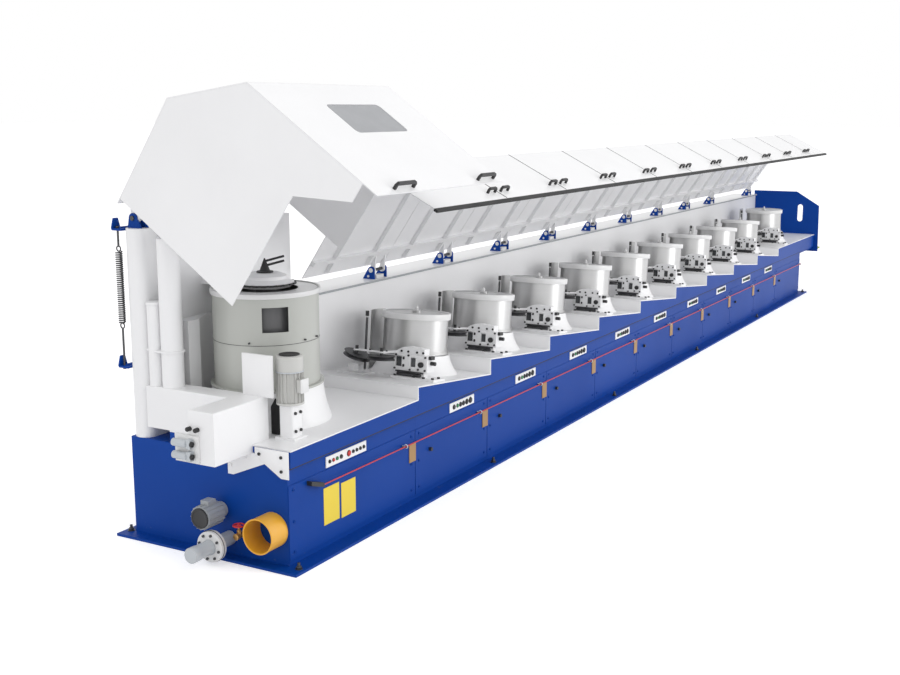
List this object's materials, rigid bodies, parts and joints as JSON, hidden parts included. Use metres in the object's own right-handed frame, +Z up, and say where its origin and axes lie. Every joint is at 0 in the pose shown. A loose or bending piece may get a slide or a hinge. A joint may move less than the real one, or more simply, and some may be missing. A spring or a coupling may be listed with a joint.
{
  "type": "wire drawing machine",
  "caption": "Straight-line wire drawing machine: stepped deck with turning blocks and die boxes, a large take-up block, and hinged safety hoods shown open.",
  "frame": {"origin": "on the floor under the middle of the base", "axes": "+X along the wire towards the far end, +Y towards the rear wall, +Z up"},
  "size_m": [16.138, 2.3192, 3.3111],
  "materials": {
    "blue_paint": "semi-gloss cobalt blue paint",
    "white_paint": "satin white powder coat",
    "block_steel": "turned and ground steel",
    "grey_paint": "grey machinery paint",
    "dark_steel": "darkened steel",
    "black_plastic": "matte black",
    "seal_rubber": "matte black rubber",
    "yellow_paint": "yellow paint",
    "red_cover": "red plastic coating",
    "brass": "dull brass",
    "window_tint": "smoked clear sheet"
  },
  "bodies": {
    "frame": {"base_frame": "blue_paint", "plinth": "blue_paint", "front_covers": "blue_paint", "far_end_plate": "blue_paint", "hinge_ears": "blue_paint", "deck": "white_paint", "rear_wall": "white_paint", "tall_wall": "white_paint", "corner_column": "white_paint", "riser_pipes": "white_paint", "block_skirts": "white_paint", "die_boxes": "white_paint", "take_up_skirt": "white_paint", "winding_head": "white_paint", "traverse_cover": "white_paint", "traverse_brackets": "white_paint", "button_plates": "white_paint", "take_up_housing": "block_steel", "take_up_drum": "block_steel", "sensor_posts": "block_steel", "air_valves": "grey_paint", "traverse_motor": "grey_paint", "pump": "grey_paint", "suction_pipe": "grey_paint", "guide_sheaves": "dark_steel", "balance_spring": "dark_steel", "hinge_pins": "dark_steel", "winding_fingers": "dark_steel", "deck_fittings": "black_plastic", "valve_caps": "black_plastic", "rope_brackets": "black_plastic", "push_buttons": "black_plastic", "air_duct": "yellow_paint", "label_plates": "yellow_paint", "take_off_wheel": "yellow_paint", "pull_rope": "red_cover", "latch_strips": "brass", "drain_valve": "brass"},
    "long_hood": {"hood_front_panels": "white_paint", "hood_roof_panels": "white_paint", "hood_front_ribs": "white_paint", "hood_roof_ribs": "white_paint", "hood_seal": "seal_rubber", "hood_handles": "black_plastic", "hood_handle_feet": "black_plastic"},
    "large_hood": {"big_hood_front": "white_paint", "big_hood_window": "window_tint", "big_hood_roof": "white_paint", "big_hood_sides": "white_paint", "big_hood_handles": "black_plastic"},
    "block_1": {"block_1": "block_steel"},
    "block_2": {"block_2": "block_steel"},
    "block_3": {"block_3": "block_steel"},
    "block_4": {"block_4": "block_steel"},
    "block_5": {"block_5": "block_steel"},
    "block_6": {"block_6": "block_steel"},
    "block_7": {"block_7": "block_steel"},
    "block_8": {"block_8": "block_steel"},
    "block_9": {"block_9": "block_steel"},
    "block_10": {"block_10": "block_steel"}
  },
  "joints": [
    {"name": "block_1_spin", "type": "hinge", "parent": "frame", "child": "block_1", "pos_m": [-4.77, -0.195, 0.87092], "axis": [0.1097, 0, 0.994], "continuous": true},
    {"name": "block_2_spin", "type": "hinge", "parent": "frame", "child": "block_2", "pos_m": [-3.52, -0.195, 0.87092], "axis": [0.1097, 0, 0.994], "continuous": true},
    {"name": "block_3_spin", "type": "hinge", "parent": "frame", "child": "block_3", "pos_m": [-2.27, -0.195, 0.87092], "axis": [0.1097, 0, 0.994], "continuous": true},
    {"name": "block_4_spin", "type": "hinge", "parent": "frame", "child": "block_4", "pos_m": [-1.02, -0.195, 0.87092], "axis": [0.1097, 0, 0.994], "continuous": true},
    {"name": "block_5_spin", "type": "hinge", "parent": "frame", "child": "block_5", "pos_m": [0.23, -0.195, 0.87092], "axis": [0.1097, 0, 0.994], "continuous": true},
    {"name": "block_6_spin", "type": "hinge", "parent": "frame", "child": "block_6", "pos_m": [1.48, -0.195, 0.87092], "axis": [0.1097, 0, 0.994], "continuous": true},
    {"name": "block_7_spin", "type": "hinge", "parent": "frame", "child": "block_7", "pos_m": [2.73, -0.195, 0.87092], "axis": [0.1097, 0, 0.994], "continuous": true},
    {"name": "block_8_spin", "type": "hinge", "parent": "frame", "child": "block_8", "pos_m": [3.98, -0.195, 0.87092], "axis": [0.1097, 0, 0.994], "continuous": true},
    {"name": "block_9_spin", "type": "hinge", "parent": "frame", "child": "block_9", "pos_m": [5.23, -0.195, 0.87092], "axis": [0.1097, 0, 0.994], "continuous": true},
    {"name": "block_10_spin", "type": "hinge", "parent": "frame", "child": "block_10", "pos_m": [6.701, -0.195, 0.941], "axis": [0, 0, 1], "continuous": true},
    {"name": "long_hood_hinge", "type": "hinge", "parent": "frame", "child": "long_hood", "pos_m": [0, 0.39, 1.7], "axis": [1, 0, 0], "range_deg": [0, 63]},
    {"name": "large_hood_hinge", "type": "hinge", "parent": "frame", "child": "large_hood", "pos_m": [-6.4, 0.67, 2.37], "axis": [1, 0, 0], "range_deg": [0, 55]}
  ]
}
